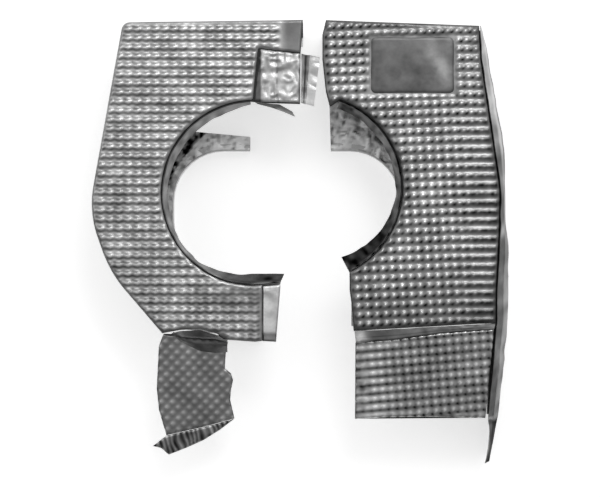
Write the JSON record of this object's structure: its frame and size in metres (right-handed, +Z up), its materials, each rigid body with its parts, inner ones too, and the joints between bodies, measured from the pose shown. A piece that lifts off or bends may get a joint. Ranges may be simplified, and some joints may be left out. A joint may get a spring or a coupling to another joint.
{
  "type": "turbo heat blanket",
  "caption": "Turbocharger heat blanket of embossed stainless foil: a pair of insulated half shells with half-round throats, laid open on their backs.",
  "frame": {"origin": "centre of the footprint, on the floor that the back panels rest on", "axes": "+Y along the halves towards their closed top edge, +Z up out of the dimpled front panels, +X towards the half with the skirt"},
  "size_m": [0.2934, 0.314, 0.0701],
  "materials": {
    "embossed_foil": "dimpled stainless foil",
    "plain_foil": "smooth crumpled foil",
    "dark_foil": "smooth foil in shade, slightly tarnished",
    "insulation": "needled fibre mat",
    "bare_plate": "satin, bare"
  },
  "bodies": {
    "root": {"left_front_skin": "embossed_foil", "left_front_mat": "insulation", "left_front_lining": "plain_foil", "left_throat_lip": "dark_foil", "left_wall_skin": "embossed_foil", "left_wall_mat": "insulation", "left_wall_lining": "plain_foil", "left_back_skin": "embossed_foil", "left_back_mat": "insulation", "left_back_lining": "plain_foil", "left_back_hem": "plain_foil", "left_closure_patch": "plain_foil", "left_closure_tab": "plain_foil", "left_lip_sliver": "dark_foil", "left_lower_tab": "plain_foil", "left_lower_lip": "dark_foil", "right_front_skin": "embossed_foil", "right_front_mat": "insulation", "right_front_lining": "plain_foil", "right_throat_lip": "dark_foil", "right_side_band": "plain_foil", "right_wall_skin": "embossed_foil", "right_wall_mat": "insulation", "right_wall_lining": "plain_foil", "right_tail_mat": "insulation", "right_tail_lining": "plain_foil", "right_back_skin": "embossed_foil", "right_back_mat": "insulation", "right_back_lining": "plain_foil", "right_back_hem": "plain_foil", "right_seam_band": "plain_foil", "right_skirt_skin": "embossed_foil", "right_skirt_mat": "insulation", "right_skirt_lining": "plain_foil", "name_plate": "bare_plate", "left_flap_skin": "embossed_foil", "left_flap_mat": "insulation", "left_flap_lining": "plain_foil", "left_flap_hem": "plain_foil"}
  },
  "joints": []
}
